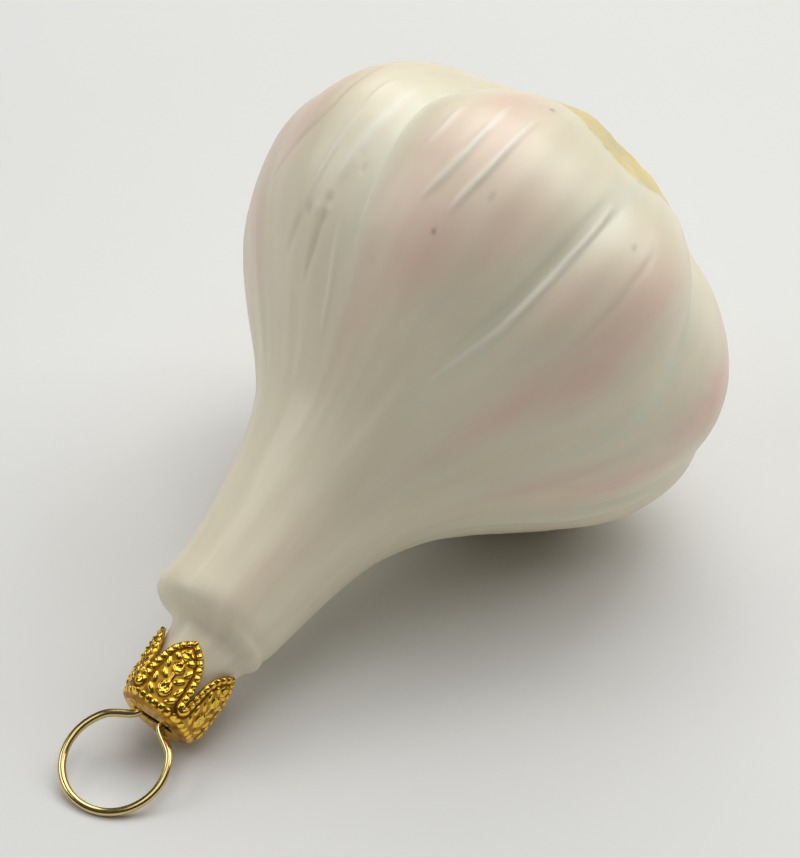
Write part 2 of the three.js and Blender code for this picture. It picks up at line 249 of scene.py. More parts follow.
def marks(x, angle, radius):
    """Height in mm of all the marks at each place, and the share of painted highlight on a
    crest, up to 1, and of painted shade in a crease, down to -1.
    """
    height, painted_light_and_shade = np.zeros(x.shape), np.zeros(x.shape)
    for width, peak, path in LONG_MARKS.values():
        distance, along = distance_to(path, x, angle, radius)
        # A mark is full in its middle, and low and narrow at its two ends
        taper = np.clip(4 * along * (1 - along) + 0.04, 0, 1) ** 0.6
        share = taper * np.exp(-((distance / (width * (0.5 + 0.5 * taper))) ** 2))
        height += peak * share
        painted_light_and_shade += math.copysign(min(abs(peak) / FULL_PAINTED_SHADING_HEIGHT, 1), peak) * share
    for place_x, place_angle, width, peak in ROUND_MARKS.values():
        aside = np.radians(angle_gap(angle, place_angle)) * radius
        share = np.exp(-((x - place_x) ** 2 + aside ** 2) / width ** 2)
        height += peak * share
        painted_light_and_shade += math.copysign(ROUND_PAINTED_SHADING, peak) * share
    return height, painted_light_and_shade


# %% The soft flutes of blown glass, and the ridges of the root plate
# Flutes round the bulb, with how far each set wanders, and their height in mm
FLUTES = ((23, 0.9), (31, 1.3), (47, 0.8))
FLUTE_HEIGHT = 0.022
FLUTE_X = (-46, -30)
FLUTE_RADIUS = (8, 16)
# Ridges of the root plate: height in mm, and where they rise and die out
ROOT_RIDGE_HEIGHT = 0.08
ROOT_RIDGES_START = (1.5, 4)
ROOT_RIDGES_STOP = (10.5, 7)
ROOT_PLATE_X = 19


def waves(x, angle, radius):
    """The soft unevenness of blown glass: shallow lengthwise flutes that wander."""
    total = np.zeros(x.shape)
    draw = np.random.default_rng(7)
    for flutes, wander in FLUTES:
        phase = draw.uniform(0, 2 * np.pi)
        total += np.sin(np.radians(angle) * flutes + phase + wander * np.sin(x / 7 + phase))
    return FLUTE_HEIGHT * total * rise(FLUTE_X, x) * rise(FLUTE_RADIUS, radius)


def root_ridges(x, angle, radius):
    """Low ridges that run out from the middle of the root plate, as roots do."""
    share = rise(ROOT_RIDGES_START, radius) * rise(ROOT_RIDGES_STOP, radius)
    turn = np.radians(angle)
    ridges = np.sin(19 * turn) + 0.6 * np.sin(31 * turn + 1)
    return ROOT_RIDGE_HEIGHT * share * (x > ROOT_PLATE_X) * ridges


# %% Rings of points, fine enough for the marks: rows between each two outline points
ROWS = [6] * 4 + [9] * 5 + [10] * 9 + [6] * 2 + [4] * 4
# The first ring is a tiny one, so that the faces round the pole keep a direction
FIRST_RING = 0.0004


def valley_depth(i, x, near_root):
    _, _, depth, end_x, *_ = VALLEYS[i]
    fade = rise(FRONT_FADE_X, x) if i == FRONT_VALLEY else 1
    return (depth * rise((end_x, FULL_DEPTH_X), x) * near_root * fade)[:, None]


def clove_rings(x, radius, nx, nr, fine):
    """Rings of points at each (x, radius), pushed along the outline's normal (nx, nr)."""
    rings, shares, angles = [], [], []
    near_root = np.where(x > FULL_DEPTH_X, rise(VALLEY_RISE, radius), 1)
    swell_root = np.where(x > FULL_DEPTH_X, rise(SWELL_RISE, radius), 1)
    reach = rise(LIP_REACH_X, x) * rise((PIPE_RADIUS[0], LIP_FULL_RADIUS), radius)
    for i, (angle, turn, _, _, swell, banks, columns) in enumerate(VALLEYS):
        after = (i + 1) % len(VALLEYS)
        angle2, turn2, _, _, _, banks2, _ = VALLEYS[after]
        u = (np.arange(columns) / columns)[None, :]
        whole_turn = 360 if after == 0 else 0
        around = (angle + turn * x / 10)[:, None] * (1 - u)
        around = around + (angle2 + turn2 * x / 10 + whole_turn)[:, None] * u
        depth = valley_depth(i, x, near_root) * (1 - u) + valley_depth(after, x, near_root) * u
        valley = depth * np.abs(2 * u - 1) ** np.where(u < 0.5, banks[1], banks2[0])
        swelling = (swell * rise(SWELL_X, x) * swell_root)[:, None] * np.sin(np.pi * u) ** 2
        side = np.maximum(0, np.cos(np.radians(around - LIP_ANGLE)))
        lip = LIP_HEIGHT * side * np.exp(-(((x - LIP_X) / LIP_SPREAD) ** 2))[:, None]
        push = swelling - valley + lip
        wide_x, wide_radius = x[:, None] + 0 * around, radius[:, None] + 0 * around
        if fine:
            push = push + marks(wide_x, around, wide_radius)[0]
            push = push + waves(wide_x, around, wide_radius)
            push = push + root_ridges(wide_x, around, wide_radius)
        points = across(around) * (radius[:, None] + push * nr[:, None])[..., None]
        points += across(np.array(LEAN_ANGLE)) * lean(x)[:, None, None]
        points[..., 0] = x[:, None] + push * nx[:, None] - LIP_REACH * side * reach[:, None]
        rings.append(points)
        shares.append(np.abs(2 * u - 1) + 0 * around)
        angles.append(around)
    return [np.concatenate(part, 1) for part in (rings, shares, angles)]


# %% The whole skin of the glass: the bulb, the shoulder, the pipe and its bore
# The shoulder between stalk and pipe: x and radius of each of its rings
SHOULDER = [(-48.3, 5.45), (-48.8, 4.9), (-49.3, 4.62), (-50, 4.45)]
PIPE_RINGS = [-52, -55, PIPE_END]
PIPE_WALL = 0.8


def pipe_radius(x):
    """The pipe narrows evenly from the stalk to its open end."""
    return np.interp(x, (PIPE_END, STALK_END), PIPE_RADIUS[::-1])


def glass_rings():
    """The bulb from root to stalk, the pipe, and its bore, with a place for each point."""
    steps = [k + np.arange(rows) / rows for k, rows in enumerate(ROWS)]
    t = np.append(np.concatenate(steps), len(ROWS)) / len(ROWS)
    t[0] = FIRST_RING
    place, slope = smooth_curve(OUTLINE, t)
    x, radius = place.T
    nx, nr = np.stack([slope[:, 1], -slope[:, 0]]) / np.hypot(*slope.T)
    outside = clove_rings(x, radius, nx, nr, fine=True)
    shoulder_x, shoulder_radius = np.array(SHOULDER).T
    pipe_x = np.array(PIPE_RINGS)
    bore_x = np.append(pipe_x[::-1], STALK_END)
    bore_radius = pipe_radius(bore_x) - PIPE_WALL
    more_x = np.concatenate([shoulder_x, pipe_x, bore_x])
    more_radius = np.concatenate([shoulder_radius, pipe_radius(pipe_x), bore_radius])
    inward = clove_rings(more_x, more_radius, 0 * more_x, 0 * more_x + 1, fine=False)
    along = np.append(x, more_x)[:, None] + 0 * np.concatenate([outside[1], inward[1]])
    from_axis = np.append(radius, more_radius)[:, None] + 0 * along
    return [np.concatenate(pair) for pair in zip(outside, inward)] + [along, from_axis]


rings, valley_share, angle_at, x_at, radius_at = glass_rings()
print("glass rings and columns:", rings.shape[:2])


# %% [markdown]
# ## From points to a mesh
# Every piece here is a grid of points whose rows close on themselves, as in a tube. A
# subdivision modifier could round off a coarse grid, but it would flatten the marks too,
# so each grid is as fine as its marks need, and only its shading is smoothed.

# %% One helper turns a grid of points into a smooth mesh
def grid_piece(name, rings, join_last_row=False):
    """A piece with a quad between every four neighbours; each row closes on itself."""
    rows, columns = rings.shape[:2]
    corner = np.arange(rows * columns).reshape(rows, columns)
    if join_last_row:
        corner = np.vstack([corner, corner[:1]])
    beside = np.roll(corner, -1, axis=1)
    quads = np.stack([corner[:-1], beside[:-1], beside[1:], corner[1:]], -1).reshape(-1, 4)
    mesh = bpy.data.meshes.new(name)
    mesh.from_pydata(rings.reshape(-1, 3).tolist(), [], quads.tolist())
    mesh.shade_smooth()
    piece = bpy.data.objects.new(name, mesh)
    bpy.context.scene.collection.objects.link(piece)
    return piece


def keep_values(piece, name, values):
    """Stores one number, or one vector, for each point, for the material to read."""
    kind = "FLOAT" if values.ndim == 2 else "FLOAT_VECTOR"
    attribute = piece.data.attributes.new(name, kind, "POINT")
    field = "value" if kind == "FLOAT" else "vector"
    attribute.data.foreach_set(field, values.astype(np.float32).ravel())


glass = grid_piece("painted_glass_bulb", to_world(rings))
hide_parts("glass_bulb")
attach(glass, "root")
print("glass faces:", len(glass.data.polygons))

# %% [markdown]
# ## Where the painter put the colours
# The bulb was sprayed in pearly cream, and then blushes of rose were brushed over the fat
# parts of the cloves, while the valleys stay greenish white. The root plate is pale
# yellow. Soft patches on the surface, listed one by one, say where each colour lies, so
# the paint follows the cloves from every side.

# %% Patches of rose: x in mm, angle, reach along in mm, reach around in degrees, strength
ROSE = [
    (-1, 133, 9, 9, 1.0), (-9, 134, 7, 8, 0.7), (0, 145, 10, 8, 0.9), (8, 149, 6, 7, 0.6),
    (9, 190, 6, 7, 0.7), (2, 191, 7, 10, 0.9), (-6, 192, 8, 12, 0.8), (-2, 207, 6, 7, 0.6),
    (-13, 184, 8, 8, 0.5),
    (1, 238, 6.5, 7.5, 0.85), (-4, 226, 6, 6, 0.6), (-3, 240, 7, 8, 0.7),
    (-8, 243, 6, 6, 0.9), (-15, 237, 8, 7, 0.8),
    (-10, 281, 7, 8, 0.9), (4, 274, 8, 7, 0.9), (-15, 273, 7, 8, 0.6),
    (-6, 312, 9, 9, 0.6), (2, 20, 9, 10, 0.8), (-4, 55, 9, 9, 0.8), (4, 86, 9, 8, 0.9),
    (-8, 118, 9, 8, 0.5), (0, 342, 8, 9, 0.7), (-40, 220, 9, 30, 0.25),
]


def rose_mask():
    mask = np.zeros(x_at.shape)
    for x, angle, reach, spread, strength in ROSE:
        far = ((x_at - x) / reach) ** 2 + (angle_gap(angle_at, angle) / spread) ** 2
        mask = np.maximum(mask, strength * np.exp(-far))
    return mask


# %% Root plate: yellow round the root, and a longer dab of it towards one side
PLATE_RADIUS = 11.5
DAB_HALF = (16, 11.5)
DAB_ASIDE = 7
DAB_TOWARDS = 217
PLATE_SIDE_X = 8
FAR_OUTSIDE = -9
PAINT_EDGE = (-0.35, 0.35)
# Dark flecks lie along the edge of the yellow, fading over this width in mm
RIM_FLECK_WIDTH = 0.4
VALLEY_FLOOR = (0.72, 1)
VALLEY_PAINT_X = (-24, -6)
dab_angle = np.radians(angle_at - DAB_TOWARDS)
dab_long = (radius_at * np.cos(dab_angle) - DAB_ASIDE) / DAB_HALF[0]
dab_wide = radius_at * np.sin(dab_angle) / DAB_HALF[1]
inside_dab = DAB_HALF[1] * (1 - np.hypot(dab_long, dab_wide))
inside_plate = np.maximum(inside_dab, PLATE_RADIUS - radius_at)
inside_plate = np.where(x_at > PLATE_SIDE_X, inside_plate, FAR_OUTSIDE)
plate_mask = rise(PAINT_EDGE, inside_plate)
plate_rim = np.exp(-((inside_plate / RIM_FLECK_WIDTH) ** 2))
in_valley = rise(VALLEY_FLOOR, valley_share) * rise(VALLEY_PAINT_X, x_at)
print("the yellow reaches, in mm from the axis:", round(radius_at[plate_mask > 0.5].max(), 1))

# %% Points for grain that follows the cloves, and four specks of dust in the paint
SPREAD = 16.0
flow = np.stack([
    x_at, SPREAD * np.sin(np.radians(angle_at)), SPREAD * np.cos(np.radians(angle_at))], -1)
SPECKS = [(-6.7, 195.2), (-1.1, 201.1), (12.2, 196.7), (5.0, 229.7)]
SPECK_STRENGTH = 0.75
SPECK_RADIUS = 0.26
specks = np.zeros(x_at.shape)
for x, angle in SPECKS:
    aside = np.radians(angle_gap(angle_at, angle)) * radius_at
    far = ((x_at - x) ** 2 + aside ** 2) / SPECK_RADIUS ** 2
    specks = np.maximum(specks, SPECK_STRENGTH * np.exp(-far))

# %% The values are kept on the points of the glass, where its paint can read them
rose = rose_mask()
keep_values(glass, "rose", rose)
keep_values(glass, "plate", plate_mask)
keep_values(glass, "plate_rim", plate_rim)
keep_values(glass, "valley", in_valley)
keep_values(glass, "specks", specks)
# The crests of the marks are painted lighter, a painted highlight, and their creases darker, a
# painted shade
painted_light_and_shade = marks(x_at, angle_at, radius_at)[1]
keep_values(glass, "crest", np.clip(painted_light_and_shade, 0, 1))
keep_values(glass, "crease", np.clip(-painted_light_and_shade, 0, 1))
keep_values(glass, "flow", flow)
print("share of the glass with rose:", round(float((rose > 0.3).mean()), 2))


# %% Colours from hex, and one function that adds a shader node
def colour(code):
    """An sRGB hex colour as the linear values that Blender wants."""
    parts = [int(code[i:i + 2], 16) / 255 for i in (1, 3, 5)]
    linear = [c / 12.92 if c <= 0.04045 else ((c + 0.055) / 1.055) ** 2.4 for c in parts]
    return (*linear, 1)


def add(tree, kind, output, settings=None, links=None):
    """Adds a node with its settings and links, and gives back one of its outputs."""
    node = tree.nodes.new(kind)
    for name, value in (settings or {}).items():
        if isinstance(name, str) and hasattr(node, name):
            setattr(node, name, value)
        else:
            node.inputs[name].default_value = value
    for name, source in (links or {}).items():
        tree.links.new(node.inputs[name], source)
    return node.outputs[output]


def blank_material(name):
    material = bpy.data.materials.new(name)
    material.use_nodes = True
    return material, material.node_tree, material.node_tree.nodes["Principled BSDF"]


# %% Sockets that share a name on their node, so they are found by number
FROM_LOW, FROM_HIGH, TO_LOW, TO_HIGH = 1, 2, 3, 4
BELOW, OVER, MIXED = 6, 7, 2
# Nearly all of the noise lies in this span
NOISE_SPAN = {FROM_LOW: 0.3, FROM_HIGH: 0.7}
NOISE_DETAIL = 3.0
MULTIPLY = {"operation": "MULTIPLY"}
COLOURS = {"data_type": "RGBA"}

# %% [markdown]
# ## Satin pearl paint on glass
# Lacquer over blown glass is opaque, with a soft gloss: it shows wide bright highlights
# on the ridges and no mirror image. The crests of the marks are also painted lighter, a
# painted highlight, and their creases darker, a painted shade. Its grain comes from a brush
# that was pulled along the cloves, so the noise is stretched along them, about half a
# millimetre across.

# %% The paint
CREAM = "#F7EED2"
THIN_CREAM = "#ECE2C6"
ROSE_TINT = "#F8CFC0"
VALLEY_TINT = "#EFECD4"
PLATE_TINT = "#F4DD84"
PLATE_SHADE = "#DCCB84"
# Dark flecks at the edge of the yellow and in the specks
DARK_FLECK = "#8F8570"
# A painted highlight on the crests of the marks, and a painted shade in their creases
PAINTED_HIGHLIGHT = "#FFF8E6"
PAINTED_CREASE_SHADE = "#B3AB94"
# The brush leaves streaks 0.6 mm wide, drawn out about 14 times along the cloves, and
# the spray leaves clouds some 4.5 mm wide, drawn out 3 times
GRAIN_WIDTH = 0.6
GRAIN_ALONG = {"Scale": (0.07, 1, 1)}
CLOUD_ALONG = {"Scale": (0.35, 1, 1)}
BRUSH_NOISE = {"Scale": 1 / GRAIN_WIDTH, "Detail": NOISE_DETAIL}
CLOUD_NOISE = {"Scale": 0.22, "Detail": NOISE_DETAIL}
FLECK_NOISE = {"Scale": 1.1, "Detail": NOISE_DETAIL}
ROSE_CLOUDS = {FROM_LOW: 0.3, FROM_HIGH: 0.62, TO_LOW: 0.45}
ROSE_STREAKS = {**NOISE_SPAN, TO_LOW: 0.75}
THIN_CLOUDS = {FROM_LOW: 0.4, FROM_HIGH: 0.62, TO_HIGH: 0.5}
YELLOW_CLOUDS = {FROM_LOW: 0.35, FROM_HIGH: 0.65}
FLECK_SPAN = {FROM_LOW: 0.56, FROM_HIGH: 0.66}
RIM_FLECK_SHARE = {TO_HIGH: 0.35}
CREASE_SHARE = {TO_HIGH: 0.35}
PAINT_ROUGHNESS = {**NOISE_SPAN, TO_LOW: 0.42, TO_HIGH: 0.54}
PAINT_IOR = 1.5
PAINT_COAT = 0.35
COAT_ROUGHNESS = 0.27
PAINT_RELIEF = {"Strength": 0.5, "Distance": 0.03 * MM}
KEPT = ("rose", "valley", "plate", "plate_rim", "specks", "crest", "crease")


# %% The paint's nodes: noises and shares first, then its layers one over the other
def paint_shares(tree, kept, cloud, brush, points):
    """How much of the rose, of the dark flecks at the plate's rim and of the painted shade in
    the creases shows.
    """
    patches = add(tree, "ShaderNodeMapRange", 0, ROSE_CLOUDS, {0: cloud})
    patchy = add(tree, "ShaderNodeMath", 0, MULTIPLY, {0: kept["rose"], 1: patches})
    streaks = add(tree, "ShaderNodeMapRange", 0, ROSE_STREAKS, {0: brush})
    streaky = add(tree, "ShaderNodeMath", 0, MULTIPLY, {0: patchy, 1: streaks})
    flecks = add(tree, "ShaderNodeTexNoise", 0, FLECK_NOISE, {"Vector": points})
    flecks = add(tree, "ShaderNodeMapRange", 0, FLECK_SPAN, {0: flecks})
    rim = add(tree, "ShaderNodeMath", 0, MULTIPLY, {0: kept["plate_rim"], 1: flecks})
    rim = add(tree, "ShaderNodeMapRange", 0, RIM_FLECK_SHARE, {0: rim})
    # The creases and dimples are painted darker, a painted shade
    painted_shade_share = add(tree, "ShaderNodeMapRange", 0, CREASE_SHARE, {0: kept["crease"]})
    return streaky, rim, painted_shade_share


def cloudy_colour(tree, cloud, span, first, second):
    """A colour that drifts between two, as thin and thick paint do."""
    share = add(tree, "ShaderNodeMapRange", 0, span, {0: cloud})
    settings = {**COLOURS, BELOW: colour(first), OVER: colour(second)}
    return add(tree, "ShaderNodeMix", MIXED, settings, {0: share})


def pearl_paint():
    material, tree, shader = blank_material("satin pearl paint on glass")
    kept = {}
    for name in KEPT:
        kept[name] = add(tree, "ShaderNodeAttribute", "Fac", {"attribute_name": name})
    points = add(tree, "ShaderNodeAttribute", "Vector", {"attribute_name": "flow"})
    drawn_out = add(tree, "ShaderNodeMapping", 0, GRAIN_ALONG, {"Vector": points})
    brush = add(tree, "ShaderNodeTexNoise", 0, BRUSH_NOISE, {"Vector": drawn_out})
    clouded = add(tree, "ShaderNodeMapping", 0, CLOUD_ALONG, {"Vector": points})
    cloud = add(tree, "ShaderNodeTexNoise", 0, CLOUD_NOISE, {"Vector": clouded})
    streaky, rim, painted_shade_share = paint_shares(tree, kept, cloud, brush, points)
    base = cloudy_colour(tree, cloud, THIN_CLOUDS, CREAM, THIN_CREAM)
    yellow = cloudy_colour(tree, cloud, YELLOW_CLOUDS, PLATE_TINT, PLATE_SHADE)
    # Over the cream lie the valley tint, the rose, the yellow, the dark flecks, a painted
    # highlight on the crests and a painted shade in the creases
    layers = [
        (kept["valley"], VALLEY_TINT), (streaky, ROSE_TINT), (kept["plate"], yellow),
        (rim, DARK_FLECK), (kept["specks"], DARK_FLECK), (kept["crest"], PAINTED_HIGHLIGHT), (painted_shade_share, PAINTED_CREASE_SHADE),
    ]
    for factor, tint in layers:
        settings, links = dict(COLOURS), {0: factor, BELOW: base}
        if isinstance(tint, str):
            settings[OVER] = colour(tint)
        else:
            links[OVER] = tint
        base = add(tree, "ShaderNodeMix", MIXED, settings, links)
    tree.links.new(shader.inputs["Base Color"], base)
    roughness = add(tree, "ShaderNodeMapRange", 0, PAINT_ROUGHNESS, {0: brush})
    tree.links.new(shader.inputs["Roughness"], roughness)
    shader.inputs["IOR"].default_value = PAINT_IOR
    shader.inputs["Coat Weight"].default_value = PAINT_COAT
    shader.inputs["Coat Roughness"].default_value = COAT_ROUGHNESS
    bump = add(tree, "ShaderNodeBump", 0, PAINT_RELIEF, {"Height": brush})
    tree.links.new(shader.inputs["Normal"], bump)
    return material


glass.data.materials.append(pearl_paint())
print("nodes in the paint:", len(glass.active_material.node_tree.nodes))

# %% [markdown]
# ## The crown cap
# A real crown is one disc of thin brass, cut into five petals, stamped with a fine
# pattern and pressed into a cup round the pipe. A flat petal with a bump map would not
# catch the light on its beads, so the cup is a grid of points that wraps round in one
# sheet, and the stamping moves the points in and out.

# %% Size of the cap, the same as its solid
CAP_END = -59.1
SHEET = 0.35
PETALS = 5
FIRST_PETAL = 198.8
# The cup's radius at each height over its plate
CAP_OUTLINE = [
    (0, 3.6), (0.3, 4.15), (0.9, 4.5), (1.9, 4.7), (3.6, 4.88), (6.0, 4.95), (9.6, 5.0),
]
PETAL_LENGTH = 8.6
CAP_CORNER = 0.045
# Half the gap between two petals, and the height of the sheet's edge there
NOTCH = [(0, 1.9), (0.3, 4.6), (0.52, 5.6), (1.0, 6.7), (1.75, 7.55), (2.5, 8.15), (3.0, 8.5)]
CAP_LEAN = (0.9, 0.55)
SLOT_HALF = (2.6, 0.9)
RING_SIDE = 276.8
print("cap in mm:", 2 * CAP_OUTLINE[-1][1], "across and", PETAL_LENGTH, "high")


def cap_radius(height):
    return np.interp(height, *np.array(CAP_OUTLINE).T)


def petal_top(aside):
    """How high the sheet reaches at an angle aside from a petal's middle line."""
    half_gap, height = np.array(NOTCH).T
    top = np.full(aside.shape, PETAL_LENGTH)
    # The cup's radius depends on the height, so a few rounds are needed to settle it
    for _ in range(4):
        from_gap = cap_radius(top) * np.sin(np.radians(180 / PETALS - np.abs(aside)))
        top = np.interp(from_gap, half_gap, height)
    return top


# %% The stamping: beads along the edge, three rosettes, leaves beside them, a fan at the tip
BEAD_PITCH = 0.84
BEAD_RADIUS = 0.36
BEAD_HEIGHT = 0.24
LOW_BEAD_HEIGHT = 0.14
LOW_BEADS_AT = 0.66
# The groove inside the beads: distance from the edge, half width and depth
GROOVE = (0.86, 0.16, 0.1)
# Each rosette: height on the petal, and radius. Each leaf: height, distance aside, tilt
ROSETTES = [(2.5, 0.86), (5.0, 0.7), (6.5, 0.56)]
LEAVES = [(1.7, 1.3, 50), (2.9, 1.55, 25), (3.8, 0.95, 50), (5.0, 1.3, 30), (6.1, 0.95, 60)]
LEAF_HALF = (0.6, 0.27)
LEAF_HEIGHT = 0.2
FAN_AT = 6.5
FAN_STEP = math.radians(24)
FAN_HEIGHT = 0.12
FAN_HALF = 0.11
FAN_START = (0.5, 0.62)
FAN_STOP = (1.25, 1.1)
# The ring of a rosette, where it runs and its half width, and its eye, by its radius
RING_OF_ROSETTE = (0.62, 0.36)
EYE_OF_ROSETTE = 0.2
STEM_HALF = 0.2
STEM_START = (1.4, 1.8)
STEM_STOP = (7.2, 6.8)
# The field inside the beads begins this far from the edge, and the stamping fades out
# this far over the plate
FIELD_START = (0.72, 1.0)
STAMPING_START = (0.1, 0.4)
EDGE_POINTS = 700


# %% The stamping as a height at each place on a petal
def dome(distance, width):
    """A round bead or ridge: 1 in the middle, 0 at its width."""
    return np.sqrt(np.clip(1 - (distance / width) ** 2, 0, 1))


def petal_edge():
    """Points along one petal's outline, and how far along it each lies."""
    aside = np.linspace(-180 / PETALS, 180 / PETALS, EDGE_POINTS)
    top = petal_top(aside)
    edge = np.stack([cap_radius(top) * np.radians(aside), top], -1)
    run = np.append(0, np.cumsum(np.hypot(*np.diff(edge, axis=0).T)))
    return edge, run - run[-1] / 2


def bead_line(run, aside):
    """A row of round beads along a line: run is along it, and aside is off it."""
    along = ((run / BEAD_PITCH + 0.5) % 1 - 0.5) * BEAD_PITCH
    return dome(np.hypot(along, aside), BEAD_RADIUS)


def turned(right, up, angle):
    """Places along and across a line that leans to the right by an angle."""
    long = right * math.sin(angle) + up * math.cos(angle)
    wide = right * math.cos(angle) - up * math.sin(angle)
    return long, wide


def stamping(side, height):
    """Height in mm of the stamped pattern at (side, height) on a petal."""
    edge, run = petal_edge()
    apart = np.hypot(side[..., None] - edge[:, 0], height[..., None] - edge[:, 1])
    nearest = apart.argmin(-1)
    edge_gap, edge_run = apart.min(-1), run[nearest]
    groove_at, groove_half, groove_depth = GROOVE
    relief = BEAD_HEIGHT * bead_line(edge_run, edge_gap - BEAD_RADIUS)
    relief -= groove_depth * dome(edge_gap - groove_at, groove_half)
    inside = rise(FIELD_START, edge_gap)
    ring_at, ring_half = RING_OF_ROSETTE
    for place, reach in ROSETTES:
        from_middle = np.hypot(side, height - place)
        ring = dome(from_middle - reach * ring_at, reach * ring_half)
        eye = dome(from_middle, reach * EYE_OF_ROSETTE)
        relief += inside * BEAD_HEIGHT * (ring + eye / 2)
    stem = dome(side, STEM_HALF) * rise(STEM_START, height) * rise(STEM_STOP, height)
    relief += inside * LOW_BEAD_HEIGHT * stem
    for place, out, tilt in LEAVES:
        for hand in (-1, 1):
            long, wide = turned(side * hand - out, height - place, math.radians(tilt))
            leaf = dome(np.hypot(long / LEAF_HALF[0], wide / LEAF_HALF[1]), 1)
            relief += inside * LEAF_HEIGHT * leaf
    for spoke in range(-3, 4):
        long, wide = turned(side, height - FAN_AT, spoke * FAN_STEP)
        reach = rise(FAN_START, long) * rise(FAN_STOP, long)
        relief += FAN_HEIGHT * dome(wide, FAN_HALF) * reach * inside
    relief += LOW_BEAD_HEIGHT * bead_line(side, height - LOW_BEADS_AT)
    return relief * rise(STAMPING_START, height)


# %% Places on the cup, and the rounded edge of its slot
SLOT_SQUARENESS = 6


def cap_points(height, radius, aside, petal):
    """Points about the axis at a height over the plate and a distance from the axis."""
    squareness = CAP_CORNER * rise((0, 1.5), height) * rise((PETAL_LENGTH, 1.5), height)
    r = radius * (1 - squareness * np.cos(np.radians(PETALS * aside)))
    points = across(FIRST_PETAL + 360 / PETALS * petal + aside) * r[..., None]
    points[..., 0] = CAP_END + height
    leaning = CAP_LEAN[0] + (CAP_LEAN[1] - CAP_LEAN[0]) * height / PETAL_LENGTH
    return points + across(np.array(LEAN_ANGLE)) * leaning[..., None]


def slot_radius(angle):
    """Distance from the middle of the plate to the slot's rounded edge."""
    turn = np.radians(angle - RING_SIDE)
    long = np.abs(np.cos(turn)) / SLOT_HALF[0]
    wide = np.abs(np.sin(turn)) / SLOT_HALF[1]
    return (long ** SLOT_SQUARENESS + wide ** SLOT_SQUARENESS) ** (-1 / SLOT_SQUARENESS)


# %% The sheet as one closed grid: petals, plate, slot, and back along the inside
PETAL_COLUMNS = 88
WALL_ROWS = 100
ROW_CROWDING = 1.15
PLATE_ROWS = 16
FIRST_PLATE_ROW = 0.06
# The plate is dished a little between the petals' roots. The hidden inside has a third of
# the rows. Places lower than 0.075 mm are hollows, and take brown as a painted shade; the
# plate, its underside and the inside take 0.3 of it.
DISH = 0.12
INSIDE_STEP = 3
HOLLOW_BELOW = 0.075
HOLLOW_ELSEWHERE = 0.3


def cap_rings():
    share = (np.arange(PETALS * PETAL_COLUMNS) + 0.5) / PETAL_COLUMNS
    petal = np.floor(share)
    within = 2 * (share - petal) - 1
    aside = 180 / PETALS * np.sin(np.pi / 2 * within)
    top = petal_top(aside)
    angle = FIRST_PETAL + 360 / PETALS * petal + aside
    up = np.linspace(1, 0, WALL_ROWS)[:, None] ** ROW_CROWDING
    height = top * up
    side = cap_radius(height) * np.radians(aside)
    relief = stamping(side, height)
    outside = cap_points(height, cap_radius(height) + relief, aside, petal)
    inward = np.linspace(FIRST_PLATE_ROW, 1, PLATE_ROWS)[:, None]
    slot_edge = slot_radius(angle)
    plate_radius = CAP_OUTLINE[0][1] * (1 - inward) + slot_edge * inward
    dish = DISH * np.sin(np.pi * inward) * np.sin(7 * np.radians(angle)) ** 2
    plate = cap_points(dish, plate_radius, aside, petal)
    under_radius = plate_radius[::-INSIDE_STEP]
    under_plate = cap_points(SHEET + 0 * under_radius, under_radius, aside, petal)
    inner_height = np.maximum(height[::-INSIDE_STEP], SHEET)
    inner_radius = cap_radius(inner_height) - SHEET + relief[::-INSIDE_STEP] / 2
    inside = cap_points(inner_height, inner_radius, aside, petal)
    rest = np.concatenate([plate, under_plate, inside])
    # Brown in the hollows, and 0.3 of it elsewhere, is a painted shade
    hollow_shade = np.clip(HOLLOW_BELOW - relief, 0, 1) / HOLLOW_BELOW
    hollow_shade = np.concatenate([hollow_shade, np.full(rest.shape[:2], HOLLOW_ELSEWHERE)])
    return np.concatenate([outside, rest]), hollow_shade


points, hollow_shade = cap_rings()
cap = grid_piece("stamped_crown_cap", to_world(points), join_last_row=True)
keep_values(cap, "hollow_shade", hollow_shade)
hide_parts("crown_cap")
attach(cap, "root")
print("cap faces:", len(cap.data.polygons))

# %% [markdown]
# ## Gilt brass
# Thin brass, pressed and then dipped in a golden lacquer: a bright orange-yellow metal.
# Brown in the hollows of the stamping is a painted shade. An ambient occlusion node
# could find the hollows, but the value kept for each point is exact, and it stays with
# the mesh.

# %% The gilt
GILT = "#FFD052"
# Brown painted into the hollows of the stamping, on the plate and inside the cup, a painted
# shade
GILT_PAINTED_SHADE = "#94601C"
# Spots in the lacquer of about 1.1 mm, so 900 for each metre
GILT_SPOTS = {"Scale": 900, "Detail": NOISE_DETAIL}
HOLLOW_SPOTS = {**NOISE_SPAN, TO_LOW: 0.5, TO_HIGH: 0.95}
GILT_ROUGHNESS = {TO_LOW: 0.17, TO_HIGH: 0.42}
GILT_RELIEF = {"Strength": 0.35, "Distance": 0.04 * MM}


